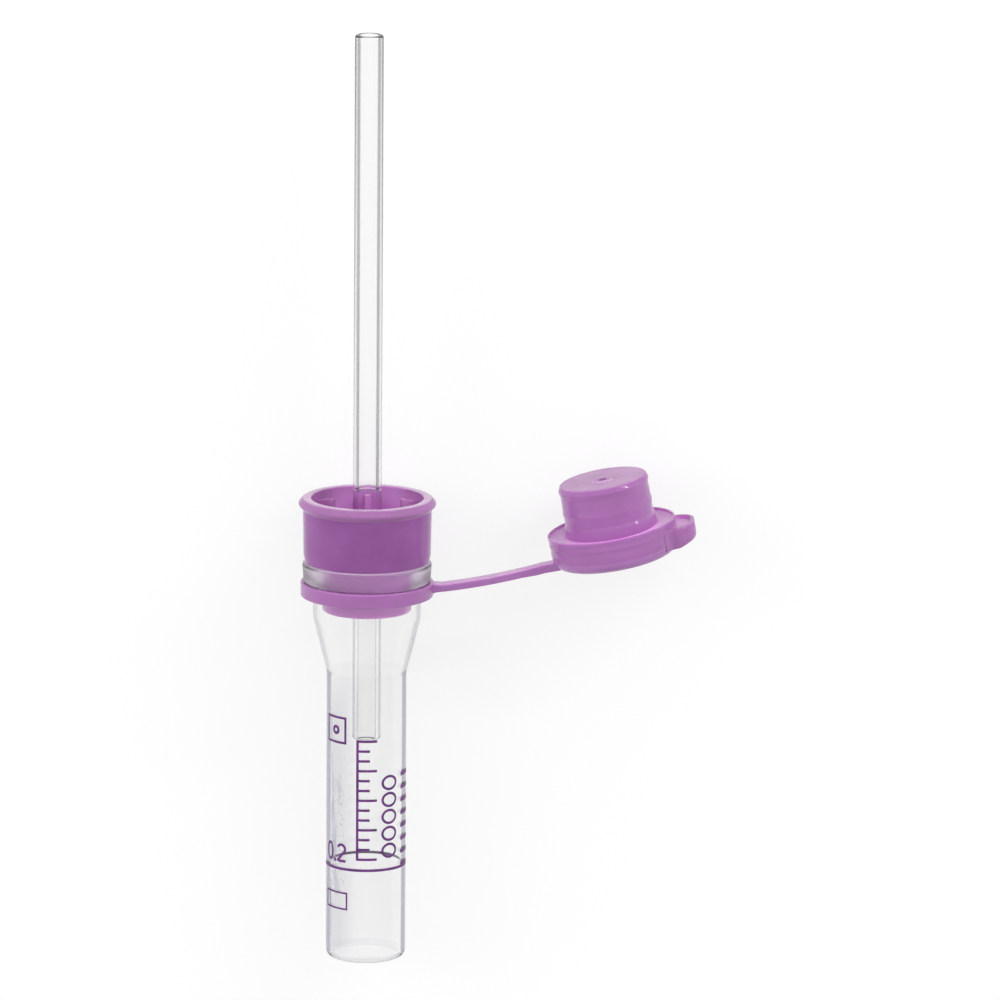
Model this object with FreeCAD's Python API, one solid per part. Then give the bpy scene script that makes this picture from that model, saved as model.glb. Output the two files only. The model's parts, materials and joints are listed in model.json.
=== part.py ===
import FreeCAD, Part
import math
import os

from FreeCAD import Placement, Rotation, Vector

# Capillary blood collection tube, in millimetres.
#
# Every piece is first built in the tube's own frame: the tube's axis is +Z,
# its foot stands at height 0, and the tethered cap lies out along +X.
# The last step lays the whole part down on the plane Z = 0, as it rests on
# a bench: +Y then runs along the tube to the mouth and +X to the cap.

# Sample tube: clear, round, with a flat foot and a rim round the mouth
body_radius = 4.00            # outside of the straight body, below the shoulder
tube_wall = 0.40
floor_thickness = 0.45
foot_rounding = 0.80
body_height = 29.47           # foot to the start of the shoulder
shoulder_height = 5.60
shoulder_rounding = 2.00
neck_flare = 1.42             # neck radius over body radius
neck_height = 3.70            # shoulder to the underside of the rim
rim_overhang = 1.10           # rim radius over neck radius
rim_height = 2.05
rim_draft = 0.16              # radius that the rim loses down to its underside
rim_rounding = 0.60
mouth_lip = 0.50              # how far the rim reaches in over the neck's bore
mouth_lead_in = 0.20

# Capillary: straight clear tube, open at both ends
capillary_radius = 1.425
capillary_wall = 0.485
capillary_length = 71.70
capillary_reach = 18.35       # how far it hangs into the tube, below the mouth
capillary_rounding = 0.15     # polished ends

# Capillary holder: cup with a rolled lip above, plug below, hub in the middle
plug_fit = 0.05               # radial clearance of the plug in the mouth
plug_depth = 5.10
plug_wall = 0.90
plug_rounding = 0.30
seat_gap = 0.03               # between the holder's shoulder and the rim
holder_height = 6.40          # shoulder to the top of the lip
holder_draft = 0.08
holder_chamfer = 0.15
holder_chamfer_height = 0.60
cup_radius = 5.63
cup_wall = 0.77
cup_floor = 1.00
cup_draft = 0.15
lip_overhang = 0.52
lip_height = 1.40
lip_rounding = 0.30
hub_wall = 0.90
hub_rise = 2.50               # above the floor of the cup
hub_drop = 3.20               # below the holder's shoulder
grip_gap = 0.01               # capillary in the hub, a push fit
fin_count = 6
fin_thickness = 0.70
fin_width = 1.85              # inwards from the wall of the cup
fin_drop = 1.00               # top of the fins below the lip
corner_rounding = 0.20        # small edges of the moulded pieces

# Tether: ring round the neck, and the strap out to the cap
ring_gap = 0.06               # radial running clearance round the neck
ring_band = 1.20
ring_height = 1.30
ring_drop = 0.20              # below the rim
ring_bevel = 0.30
ring_rounding = 0.15
strap_width = 1.80
strap_thickness = 0.72
strap_length = 10.34          # between the two lines where it bends
strap_rise = 11.7             # degrees, of the strap out from the ring
strap_bow = 9.0               # degrees that it turns upwards on the way
root_length = 0.92            # ring to the first bend line
tip_length = 0.84             # second bend line to the cap
root_lift = 0.40              # underside of the strap's root over that of the ring
bend_gap = 0.04               # clearance of the strap's round ends

# Cap: flange with a raised edge, stopper, thumb tab
flange_radius = 6.48
flange_height = 3.38
flange_draft = 0.15
flange_rounding = 1.10
edge_width = 0.30
edge_height = 0.45
seal_squeeze = 0.06           # radius of the sealing beads over that of the mouth
stopper_height = 4.90         # over the flange's raised edge
stopper_wall = 1.00
stopper_relief = 0.14         # radius taken off between the beads
bead_height = 0.75
step_height = 2.00            # top of the lower land, over the raised edge
dish_depth = 0.15             # hollow of the stopper's end
gate_radius = 1.00
gate_height = 0.10
dimple_radius = 0.45
tab_reach = 1.85              # beyond the flange
tab_width = 6.00
tab_drop = 0.75               # below the raised edge
tab_lift = 0.50               # its underside at the flange, over that of the flange
tab_rise = 0.55               # further rise of its underside, out to the tip
tab_rounding = 2.50
tab_edge = 0.40
tab_recess = 0.35
cap_lean = 10.5               # degrees, stopper towards the tube
cap_twist = 1.5               # degrees, stopper towards the side that faces up

# What follows from them, in the tube's frame
neck_radius = body_radius + neck_flare
rim_radius = neck_radius + rim_overhang
mouth_radius = neck_radius - tube_wall - mouth_lip
neck_bottom = body_height + shoulder_height
rim_bottom = neck_bottom + neck_height
rim_top = rim_bottom + rim_height
capillary_bottom = rim_top - capillary_reach
shoulder_level = rim_top + seat_gap
holder_radius = cup_radius + cup_wall
holder_top = shoulder_level + holder_height
cup_floor_level = shoulder_level + cup_floor
hub_radius = capillary_radius + grip_gap + hub_wall
lip_radius = holder_radius + lip_overhang
ring_inner = neck_radius + ring_gap
ring_radius = ring_inner + ring_band
ring_top = rim_bottom - ring_drop
ring_bottom = ring_top - ring_height
strap_start = strap_rise - strap_bow / 2
strap_end = strap_rise + strap_bow / 2
root_bend = Vector(ring_radius + root_length, 0,
                   ring_bottom + root_lift + strap_thickness / 2
                   + root_length * math.tan(math.radians(strap_start)))
tip_bend = root_bend + Vector(strap_length * math.cos(math.radians(strap_rise)), 0,
                              strap_length * math.sin(math.radians(strap_rise)))
stopper_radius = mouth_radius + seal_squeeze
slack = 0.5                   # how far joined shapes reach into each other


def outline(corners):
    """Closed wire through corners (x, y, rounding), each turned with a tangent arc."""
    edges = []
    ends = []
    count = len(corners)
    for index in range(count):
        before = Vector(*corners[index - 1][:2])
        here = Vector(*corners[index][:2])
        after = Vector(*corners[(index + 1) % count][:2])
        rounding = corners[index][2]
        back = (before - here).normalize()
        ahead = (after - here).normalize()
        if rounding == 0:
            ends.append((here, here))
            continue
        half = back.getAngle(ahead) / 2
        tangent = rounding / math.tan(half)
        middle = (back + ahead).normalize() * (rounding / math.sin(half) - rounding)
        start = here + back * tangent
        stop = here + ahead * tangent
        ends.append((start, stop))
        edges.append(Part.Arc(start, here + middle, stop).toShape())
    for index in range(count):
        leave = ends[index - 1][1]
        arrive = ends[index][0]
        if leave.distanceToPoint(arrive) > 1e-6:
            edges.append(Part.makeLine(leave, arrive))
    return Part.Wire(Part.__sortEdges__(edges))


def lathe(corners):
    """Solid turned about +Z from corners (radius, height, rounding)."""
    face = Part.Face(outline(corners))
    face.rotate(Vector(0, 0, 0), Vector(1, 0, 0), 90)
    return face.revolve(Vector(0, 0, 0), Vector(0, 0, 1), 360)


def slab(corners, width):
    """Solid with its outline in the XZ plane, centred across Y."""
    face = Part.Face(outline(corners))
    face.rotate(Vector(0, 0, 0), Vector(1, 0, 0), 90)
    face.translate(Vector(0, width / 2, 0))
    return face.extrude(Vector(0, -width, 0))


def join(base, others):
    """One solid from a solid and what grows out of it."""
    return base.fuse(others).removeSplitter().Solids[0]


def polar(origin, length, angle):
    """Point in the XZ plane at a length and an angle in degrees from +X."""
    turn = math.radians(angle)
    return origin + Vector(length * math.cos(turn), 0, length * math.sin(turn))


def make_tube():
    bore_radius = body_radius - tube_wall
    inner_rounding = max(foot_rounding - tube_wall, corner_rounding)
    return lathe([
        (0, 0, 0),
        (body_radius, 0, foot_rounding),
        (body_radius, body_height, shoulder_rounding),
        (neck_radius, neck_bottom, shoulder_rounding),
        (neck_radius, rim_bottom, 0),
        (rim_radius - rim_draft, rim_bottom, corner_rounding),
        (rim_radius, rim_top, rim_rounding),
        (mouth_radius + mouth_lead_in, rim_top, 0),
        (mouth_radius, rim_top - mouth_lead_in, 0),
        (mouth_radius, rim_bottom, 0),
        (neck_radius - tube_wall, rim_bottom - mouth_lip, 0),
        (neck_radius - tube_wall, neck_bottom, shoulder_rounding),
        (bore_radius, body_height, shoulder_rounding),
        (bore_radius, floor_thickness, inner_rounding),
        (0, floor_thickness, 0),
    ])


def make_capillary():
    top = capillary_bottom + capillary_length
    bore = capillary_radius - capillary_wall
    return lathe([
        (bore, capillary_bottom, capillary_rounding),
        (capillary_radius, capillary_bottom, capillary_rounding),
        (capillary_radius, top, capillary_rounding),
        (bore, top, capillary_rounding),
    ])


def make_holder():
    plug_radius = mouth_radius - plug_fit
    plug_bottom = shoulder_level - plug_depth
    foot_radius = holder_radius - holder_draft
    lip_bottom = holder_top - lip_height
    bore = capillary_radius + grip_gap
    body = lathe([
        (bore, shoulder_level - hub_drop, 0),
        (hub_radius, shoulder_level - hub_drop, corner_rounding),
        (hub_radius, shoulder_level, corner_rounding),
        (plug_radius - plug_wall, shoulder_level, corner_rounding),
        (plug_radius - plug_wall, plug_bottom, 0),
        (plug_radius, plug_bottom, plug_rounding),
        (plug_radius, shoulder_level, 0),
        (foot_radius - holder_chamfer, shoulder_level, 0),
        (foot_radius, shoulder_level + holder_chamfer_height, 0),
        (holder_radius, lip_bottom, corner_rounding),
        (lip_radius, holder_top - lip_height / 2, lip_rounding),
        (lip_radius, holder_top, lip_rounding),
        (cup_radius, holder_top, corner_rounding),
        (cup_radius - cup_draft, cup_floor_level, corner_rounding),
        (hub_radius, cup_floor_level, corner_rounding),
        (hub_radius, cup_floor_level + hub_rise, corner_rounding),
        (bore, cup_floor_level + hub_rise, 0),
    ])
    fin_bottom = cup_floor_level - cup_floor / 2
    fin_height = holder_top - fin_drop - fin_bottom
    fin = Part.makeBox(fin_width + cup_wall / 2, fin_thickness, fin_height,
                       Vector(cup_radius - fin_width, -fin_thickness / 2, fin_bottom))
    fins = []
    for index in range(fin_count):
        turned = fin.copy()
        turned.rotate(Vector(0, 0, 0), Vector(0, 0, 1), (index + 0.5) * 360 / fin_count)
        fins.append(turned)
    return join(body, fins)


def make_tether_ring():
    band = lathe([
        (ring_inner, ring_bottom, 0),
        (ring_radius, ring_bottom, ring_rounding),
        (ring_radius, ring_top - ring_bevel, 0),
        (ring_radius - ring_bevel, ring_top, 0),
        (ring_inner, ring_top, 0),
    ])
    half = strap_thickness / 2
    face = polar(root_bend, -(half + bend_gap), strap_start)
    low = polar(face, -half, strap_start + 90)
    high = polar(face, half, strap_start + 90)
    inside = ring_inner + ring_band / 2
    root = slab([
        (inside, ring_bottom + root_lift / 2, 0),
        (ring_radius, ring_bottom + root_lift / 2, 0),
        (low.x, low.z, 0),
        (high.x, high.z, 0),
        (ring_radius - ring_bevel / 2, ring_top - ring_bevel / 2, 0),
        (inside, ring_top - ring_bevel / 2, 0),
    ], strap_width)
    return join(band, [root])


def make_strap():
    """Bowed strip with half-round ends centred on the two bend lines."""
    half = strap_thickness / 2
    bow_radius = strap_length / (2 * math.sin(math.radians(strap_bow / 2)))
    centre = polar(root_bend, bow_radius, strap_start + 90)

    def side(offset):
        points = [polar(centre, bow_radius - offset, angle - 90)
                  for angle in (strap_start, strap_rise, strap_end)]
        return Part.Arc(*points)

    top = side(half)
    bottom = side(-half)
    root = Part.Arc(top.StartPoint, polar(root_bend, -half, strap_start), bottom.StartPoint)
    tip = Part.Arc(top.EndPoint, polar(tip_bend, half, strap_end), bottom.EndPoint)
    edges = [arc.toShape() for arc in (top, tip, bottom, root)]
    face = Part.Face(Part.Wire(Part.__sortEdges__(edges)))
    face.translate(Vector(0, strap_width / 2, 0))
    return face.extrude(Vector(0, -strap_width, 0))


def make_stopper():
    """Flange and stopper in the cap's own frame: raised edge at height 0, stopper up."""
    land_radius = stopper_radius - stopper_relief
    hollow_radius = land_radius - stopper_wall
    end = stopper_height
    dish = end - dish_depth
    return lathe([
        (0, dish - dimple_radius, 0),
        (dimple_radius, dish, 0),
        (dimple_radius, dish + gate_height, 0),
        (gate_radius, dish + gate_height, 0),
        (gate_radius + gate_height, dish, 0),
        (land_radius - corner_rounding, end, corner_rounding),
        (stopper_radius, end - bead_height / 2, corner_rounding),
        (land_radius, end - bead_height, corner_rounding),
        (land_radius, step_height + stopper_relief, 0),
        (stopper_radius - stopper_relief / 2, step_height, corner_rounding),
        (stopper_radius, -edge_height, corner_rounding),
        (flange_radius - edge_width, -edge_height, 0),
        (flange_radius - edge_width, 0, 0),
        (flange_radius, 0, edge_width / 2),
        (flange_radius - flange_draft, -flange_height, flange_rounding),
        (hollow_radius, -flange_height, corner_rounding),
        (hollow_radius, dish - stopper_wall, stopper_wall),
        (0, dish - stopper_wall, 0),
    ])


def make_tab():
    """Thumb tab on the side away from the strap, with a shallow recess in its face."""
    tip = flange_radius + tab_reach
    start = flange_radius - edge_width - slack
    half = tab_width / 2

    def plate(inset, low, high):
        rounding = tab_rounding - inset
        face = Part.Face(outline([
            (start, inset - half, 0),
            (tip - inset, inset - half, rounding),
            (tip - inset, half - inset, rounding),
            (start, half - inset, 0),
        ]))
        face.translate(Vector(0, 0, low))
        return face.extrude(Vector(0, 0, high - low))

    wedge = slab([
        (start, tab_lift - flange_height, 0),
        (tip, tab_lift + tab_rise - flange_height, 0),
        (tip, -tab_drop, 0),
        (start, -tab_drop, 0),
    ], tab_width)
    solid = plate(0, -flange_height, -tab_drop).common(wedge)
    recess = plate(tab_edge, -tab_drop - tab_recess, 0)
    flange = Part.makeCylinder(flange_radius, 2 * flange_height, Vector(0, 0, -2 * flange_height))
    return solid.cut(recess.cut(flange))


def make_cap():
    half = strap_thickness / 2
    face = -(flange_radius + tip_length - half - bend_gap)
    stub = slab([
        (face, -flange_height, 0),
        (slack - flange_radius, -flange_height, 0),
        (slack - flange_radius, strap_thickness - flange_height, 0),
        (face, strap_thickness - flange_height, 0),
    ], strap_width)
    cap = join(make_stopper(), [make_tab(), stub])
    cap.Placement = cap_placement()
    return cap


def cap_placement():
    """From the cap's own frame to the tube's: its stub ends on the strap's second bend line."""
    bend = Vector(-(flange_radius + tip_length), 0, strap_thickness / 2 - flange_height)
    lean = Rotation(Vector(0, 1, 0), -cap_lean)
    turn = lean.multiply(Rotation(Vector(1, 0, 0), cap_twist))
    return Placement(tip_bend - turn.multVec(bend), turn)


def reach(ring, down):
    """How far a rounded circular edge (centre, axis, radius, rounding) reaches along down."""
    centre, axis, radius, rounding = ring
    along = axis.dot(down)
    return centre.dot(down) + (radius - rounding) * math.sqrt(1 - along * along) + rounding


def down_direction(pitch, roll):
    flat = math.cos(pitch)
    return Vector(flat * math.sin(roll), flat * math.cos(roll), -math.sin(pitch))


def lie_on(tail, head, edges):
    """Down direction with two edges on the tube's axis and the cap's lowest edge on the table."""
    run = head[0].z - tail[0].z
    rise = (head[2] - head[3]) - (tail[2] - tail[3])
    pitch = math.atan2(rise, run) + math.asin((head[3] - tail[3]) / math.hypot(rise, run))
    low, high = -math.pi / 4, math.pi / 4
    for _ in range(60):
        roll = (low + high) / 2
        down = down_direction(pitch, roll)
        if max(reach(edge, down) for edge in edges) > reach(tail, down):
            high = roll
        else:
            low = roll
    return down_direction(pitch, roll)


def contact(ring, down):
    """Point of a circular edge that touches the table."""
    centre, axis, radius, rounding = ring
    outward = (down - axis * axis.dot(down)).normalize()
    return centre + outward * (radius - rounding) + down * rounding


def carries(points, balance, down):
    """Whether the balance point hangs over the triangle of three contacts."""
    sides = []
    for index in range(3):
        edge = points[index] - points[index - 1]
        sides.append(edge.cross(balance - points[index - 1]).dot(down) > 0)
    return len(set(sides)) == 1


def resting_down(solids):
    """Down direction, in the tube's frame, of the whole part at rest on a table."""
    axis = Vector(0, 0, 1)
    foot = (Vector(0, 0, foot_rounding), axis, body_radius, foot_rounding)
    ring = (Vector(0, 0, ring_bottom + ring_rounding), axis, ring_radius, ring_rounding)
    lip = (Vector(0, 0, holder_top - lip_rounding), axis, lip_radius, lip_rounding)
    cap = cap_placement()
    cap_axis = cap.Rotation.multVec(axis)
    cap_back = cap.multVec(Vector(0, 0, flange_rounding - flange_height))
    cap_edges = [
        (cap.Base, cap_axis, flange_radius, 0),
        (cap_back, cap_axis, flange_radius - flange_draft, flange_rounding),
    ]
    volume = sum(solid.Volume for solid in solids)
    balance = sum((solid.CenterOfMass * solid.Volume for solid in solids), Vector()) / volume
    for tail, head in ((foot, ring), (foot, lip), (ring, lip)):
        down = lie_on(tail, head, cap_edges)
        lowest = max(cap_edges, key=lambda edge: reach(edge, down))
        points = [contact(edge, down) for edge in (tail, head, lowest)]
        clear = all(reach(edge, down) < reach(tail, down) + 0.001 for edge in (foot, ring, lip))
        if clear and carries(points, balance, down):
            return down
    raise ValueError("the part finds no rest on three edges")


def lay_down(solids):
    """Placement from the tube's frame to the part's own: on Z = 0, centred over the origin."""
    up = resting_down(solids) * -1
    along = (Vector(0, 0, 1) - up * up.z).normalize()
    turn = Rotation(along.cross(up), along, up, "ZXY").inverted()
    laid = Placement(Vector(), turn)
    box = FreeCAD.BoundBox()
    for solid in solids:
        placed = solid.copy()
        placed.Placement = laid.multiply(solid.Placement)
        box.add(placed.optimalBoundingBox(False))
    laid.Base = Vector(-box.Center.x, -box.Center.y, -box.ZMin)
    return laid


pieces = {
    "sample_tube": make_tube(),
    "capillary": make_capillary(),
    "capillary_holder": make_holder(),
    "tether_ring": make_tether_ring(),
    "tether_strap": make_strap(),
    "stopper_cap": make_cap(),
}

rest = lay_down(list(pieces.values()))
os.makedirs("parts", exist_ok=True)
for name, piece in pieces.items():
    piece.Placement = rest.multiply(piece.Placement)
    piece.exportStep("parts/" + name + ".step")
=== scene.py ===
import json
import math
import random

import bmesh
import bpy
from mathutils import Matrix, Vector


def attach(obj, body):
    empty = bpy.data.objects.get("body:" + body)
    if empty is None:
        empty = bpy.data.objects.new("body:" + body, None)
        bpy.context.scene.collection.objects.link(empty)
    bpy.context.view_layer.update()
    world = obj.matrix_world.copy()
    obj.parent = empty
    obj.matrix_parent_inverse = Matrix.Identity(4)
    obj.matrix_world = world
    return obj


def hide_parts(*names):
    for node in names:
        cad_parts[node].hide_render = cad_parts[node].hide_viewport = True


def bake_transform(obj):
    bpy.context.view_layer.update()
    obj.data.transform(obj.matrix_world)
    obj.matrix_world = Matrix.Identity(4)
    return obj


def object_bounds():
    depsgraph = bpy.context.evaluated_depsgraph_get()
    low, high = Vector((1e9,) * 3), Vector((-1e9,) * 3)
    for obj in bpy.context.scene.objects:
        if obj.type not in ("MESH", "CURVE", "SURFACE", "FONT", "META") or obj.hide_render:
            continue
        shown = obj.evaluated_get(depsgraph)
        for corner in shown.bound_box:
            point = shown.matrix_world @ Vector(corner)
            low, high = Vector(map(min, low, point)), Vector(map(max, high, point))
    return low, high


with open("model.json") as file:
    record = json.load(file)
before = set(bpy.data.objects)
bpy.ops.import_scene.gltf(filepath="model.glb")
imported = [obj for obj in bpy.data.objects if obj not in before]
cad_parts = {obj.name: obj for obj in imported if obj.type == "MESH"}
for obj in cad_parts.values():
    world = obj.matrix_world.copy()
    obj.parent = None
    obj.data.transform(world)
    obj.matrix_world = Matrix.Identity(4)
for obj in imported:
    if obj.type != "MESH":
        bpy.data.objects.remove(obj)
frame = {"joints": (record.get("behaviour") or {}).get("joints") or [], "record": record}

cad_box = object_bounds()

# Capillary blood collection tube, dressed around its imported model. Lengths are in
# millimetres in the tube's own frame: its axis is +Z from the foot at 0, the open cap
# lies out along +X, and -Y is the side that faces up from the table to the camera.

# Sample tube
body_radius = 4.00
tube_wall = 0.40
floor_thickness = 0.45
foot_rounding = 0.80
body_height = 29.47
shoulder_height = 5.60
shoulder_rounding = 2.00
neck_flare = 1.42
neck_height = 3.70
rim_overhang = 1.10
rim_height = 2.05
rim_draft = 0.16
rim_rounding = 0.45
mouth_lip = 0.50
mouth_lead_in = 0.20

# Capillary
capillary_radius = 1.425
capillary_wall = 0.485
capillary_length = 71.70
capillary_reach = 18.35
capillary_rounding = 0.15

# Capillary holder
plug_fit = 0.05
plug_depth = 5.10
plug_wall = 0.90
plug_rounding = 0.30
seat_gap = 0.03
holder_height = 6.40
holder_draft = 0.08
holder_chamfer = 0.15
holder_chamfer_height = 0.60
cup_radius = 5.63
cup_wall = 0.83
cup_floor = 1.00
cup_draft = 0.15
lip_overhang = 0.46
lip_edge = 0.62
lip_foot = 1.10
lip_rounding = 0.30
lip_slope = 0.45
hub_wall = 0.90
hub_rise = 2.50
hub_drop = 3.20
grip_gap = 0.01
fin_count = 6
fin_thickness = 0.60
fin_width = 1.75
fin_drop = 0.55
corner_rounding = 0.20
fin_slope = 0.45
fin_rounding = 0.15

# Tether
ring_gap = 0.06
ring_band = 1.20
ring_height = 1.45
ring_drop = 0.05
ring_bevel = 0.12
ring_rounding = 0.15
ring_bevel_rounding = 0.05
strap_width = 1.80
strap_thickness = 0.72
strap_length = 10.34
strap_rise = 11.7
strap_bow = 9.0
strap_rounding = 0.12
strap_root_flare = (0.22, 0.30)
strap_keel = 0.12

# Cap
flange_radius = 6.48
flange_height = 3.38
flange_draft = 0.15
flange_rounding = 1.10
edge_width = 0.20
edge_height = 0.24
dish_fall = 0.70
seal_squeeze = 0.06
stopper_height = 4.90
stopper_wall = 1.00
stopper_relief = 0.14
step_height = 2.00
dish_depth = 0.15
gate_radius = 1.00
gate_height = 0.10
dimple_radius = 0.45
tab_reach = 1.85
tab_width = 6.00
tab_drop = 0.75
tab_lift = 0.50
tab_rise = 0.55
tab_rounding = 2.20
tab_edge = 0.40
tab_recess = 0.35
tab_root = 1.3
tab_flare = 0.80
tab_flare_length = 0.95
tip_length = 0.84
cap_lean = 10.5
cap_twist = 1.5
# Inset, level and rounding of the shallow ridges and grooves round the flange. They stay so
# low that the cap rests on the same edge as its solid.
flange_ridges = ((0.08, -0.50, 0.60), (0.03, -0.92, 0.40), (0.12, -1.22, 0.40),
                 (0.08, -1.75, 0.80))

# What follows from them
neck_radius = body_radius + neck_flare
rim_radius = neck_radius + rim_overhang
mouth_radius = neck_radius - tube_wall - mouth_lip
neck_bottom = body_height + shoulder_height
rim_bottom = neck_bottom + neck_height
rim_top = rim_bottom + rim_height
capillary_bottom = rim_top - capillary_reach
shoulder_level = rim_top + seat_gap
holder_radius = cup_radius + cup_wall
holder_top = shoulder_level + holder_height
cup_floor_level = shoulder_level + cup_floor
hub_radius = capillary_radius + grip_gap + hub_wall
lip_radius = holder_radius + lip_overhang
ring_inner = neck_radius + ring_gap
ring_radius = ring_inner + ring_band
ring_top = rim_bottom - ring_drop
ring_bottom = ring_top - ring_height
neck_start = body_height + 0.8
sleeve_top = holder_top + 0.75
bore_radius = body_radius - tube_wall
capillary_bore_radius = capillary_radius - capillary_wall
stopper_radius = mouth_radius + seal_squeeze

# Frames: the tube's, from the record's joints and mounts, and the cap's, from its bend line
joints = {joint["name"]: joint for joint in frame["joints"]}
mounts = {mount["name"]: mount for mount in frame["record"]["mounts"]}
along = Vector(joints["holder_pull"]["axis"])
back = -Vector(joints["strap_bend"]["axis"])
to_row = Matrix((back.cross(along), back, along)).transposed().to_4x4()
to_row.translation = Vector(mounts["foot"]["pos_m"])
tube_frame = to_row @ Matrix.Scale(0.001, 4)
root_bend = tube_frame.inverted() @ Vector(joints["strap_bend"]["pos_m"])
tip_bend = tube_frame.inverted() @ Vector(joints["cap_bend"]["pos_m"])
cap_turn = (Matrix.Rotation(math.radians(-cap_lean), 4, "Y")
            @ Matrix.Rotation(math.radians(cap_twist), 4, "X"))
cap_bend = Vector((-(flange_radius + tip_length), 0, strap_thickness / 2 - flange_height))
cap_frame = tube_frame @ Matrix.Translation(tip_bend - cap_turn @ cap_bend) @ cap_turn


# ---------------------------------------------------------------- mesh helpers

sharp_turn = math.radians(32)


def rounded(corners, steps=6):
    """Closed outline through corners (x, y, rounding), each turned with a tangent arc."""
    points = []
    for index, (x, y, rounding) in enumerate(corners):
        here = Vector((x, y))
        if rounding == 0:
            points.append(here)
            continue
        before = (Vector(corners[index - 1][:2]) - here).normalized()
        after = (Vector(corners[(index + 1) % len(corners)][:2]) - here).normalized()
        half = before.angle(after) / 2
        centre = here + (before + after).normalized() * (rounding / math.sin(half))
        start = here + before * (rounding / math.tan(half)) - centre
        stop = here + after * (rounding / math.tan(half)) - centre
        first = math.atan2(start.y, start.x)
        turn = math.atan2(stop.y, stop.x) - first
        turn = (turn + math.pi) % (2 * math.pi) - math.pi
        for step in range(steps + 1):
            angle = first + turn * step / steps
            points.append(centre + Vector((math.cos(angle), math.sin(angle))) * rounding)
    return points


def bridge(bm, first, second, closed=True):
    """Faces between two rows of vertices; a row of one vertex is a pole."""
    count = max(len(first), len(second))
    for index in range(count if closed else count - 1):
        follow = (index + 1) % count
        corners = []
        for row, place in ((first, index), (first, follow), (second, follow), (second, index)):
            vertex = row[place % len(row)]
            if vertex not in corners:
                corners.append(vertex)
        if len(corners) > 2:
            bm.faces.new(corners)


def finish_piece(name, bm, materials, place):
    """Object from a mesh in millimetres, moved to its frame and shaded smooth."""
    bmesh.ops.recalc_face_normals(bm, faces=bm.faces)
    mesh = bpy.data.meshes.new(name)
    bm.to_mesh(mesh)
    bm.free()
    mesh.transform(place)
    for material in materials:
        mesh.materials.append(material)
    for polygon in mesh.polygons:
        polygon.use_smooth = True
    mesh.set_sharp_from_angle(angle=sharp_turn)
    piece = bpy.data.objects.new(name, mesh)
    bpy.context.scene.collection.objects.link(piece)
    return piece


def turned(bm, corners, segments=160, steps=6):
    """Adds a solid turned about +Z from corners (radius, height, rounding)."""
    rows = []
    for point in rounded(corners, steps):
        if point.x < 1e-6:
            rows.append([bm.verts.new((0, 0, point.y))])
            continue
        row = []
        for index in range(segments):
            angle = 2 * math.pi * index / segments
            row.append(bm.verts.new((point.x * math.cos(angle),
                                     point.x * math.sin(angle), point.y)))
        rows.append(row)
    for index, row in enumerate(rows):
        following = rows[(index + 1) % len(rows)]
        if len(row) > 1 or len(following) > 1:
            bridge(bm, row, following)


# ---------------------------------------------------------------- materials

def new_material(name):
    material = bpy.data.materials.new(name)
    material.use_nodes = True
    return material, material.node_tree.nodes, material.node_tree.links


def grain(nodes, links, scale, detail=3):
    """Noise in the piece's own coordinates, with features about 1 / scale metres across."""
    place = nodes.new("ShaderNodeTexCoord")
    noise = nodes.new("ShaderNodeTexNoise")
    noise.inputs["Scale"].default_value = scale
    noise.inputs["Detail"].default_value = detail
    links.new(place.outputs["Object"], noise.inputs["Vector"])
    return noise.outputs["Fac"]


def ramp(nodes, links, source, low, high):
    """Colours from low to high over the middle of a noise."""
    node = nodes.new("ShaderNodeValToRGB")
    node.color_ramp.elements[0].position = 0.35
    node.color_ramp.elements[1].position = 0.65
    node.color_ramp.elements[0].color = (*low, 1)
    node.color_ramp.elements[1].color = (*high, 1)
    links.new(source, node.inputs["Fac"])
    return node.outputs["Color"]


def spread(nodes, links, source, low, high):
    """Number from low to high over a noise."""
    node = nodes.new("ShaderNodeMapRange")
    node.inputs["From Min"].default_value = 0.3
    node.inputs["From Max"].default_value = 0.7
    node.inputs["To Min"].default_value = low
    node.inputs["To Max"].default_value = high
    links.new(source, node.inputs["Value"])
    return node.outputs["Result"]


def bump(nodes, links, source, strength, distance):
    node = nodes.new("ShaderNodeBump")
    node.inputs["Strength"].default_value = strength
    node.inputs["Distance"].default_value = distance
    links.new(source, node.inputs["Height"])
    return node.outputs["Normal"]


def painted_edge_shade(nodes, links, colour, shade, stops):
    """Colour that turns to a shade towards grazing angles: painted shade for the dark edges that
    refraction and reflection of the surroundings give, with some real absorption over the longer
    path through the wall.
    """
    weight = nodes.new("ShaderNodeLayerWeight")
    weight.inputs["Blend"].default_value = 0.5
    node = nodes.new("ShaderNodeValToRGB")
    while len(node.color_ramp.elements) < len(stops):
        node.color_ramp.elements.new(0.5)
    for element, (position, share) in zip(node.color_ramp.elements, stops):
        element.position = position
        element.color = (*(low + (high - low) * share for low, high in zip(shade, colour)), 1)
    links.new(weight.outputs["Facing"], node.inputs["Fac"])
    return node.outputs["Color"]


def clear_plastic(name, colour, stops, ior, rough, wave, wave_scale=250, shade=(0, 0, 0),
                  through=1):
    """Clear wall, its colour darkened towards grazing angles by painted edge shade; an index near
    1 keeps a thin part from trapping light and turning dark.
    """
    material, nodes, links = new_material(name)
    shader = nodes["Principled BSDF"]
    links.new(painted_edge_shade(nodes, links, colour, shade, stops), shader.inputs["Base Color"])
    shader.inputs["Transmission Weight"].default_value = through
    shader.inputs["IOR"].default_value = ior
    links.new(spread(nodes, links, grain(nodes, links, 700), *rough), shader.inputs["Roughness"])
    links.new(bump(nodes, links, grain(nodes, links, wave_scale, 2), wave, 0.0001),
              shader.inputs["Normal"])
    return material


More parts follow.
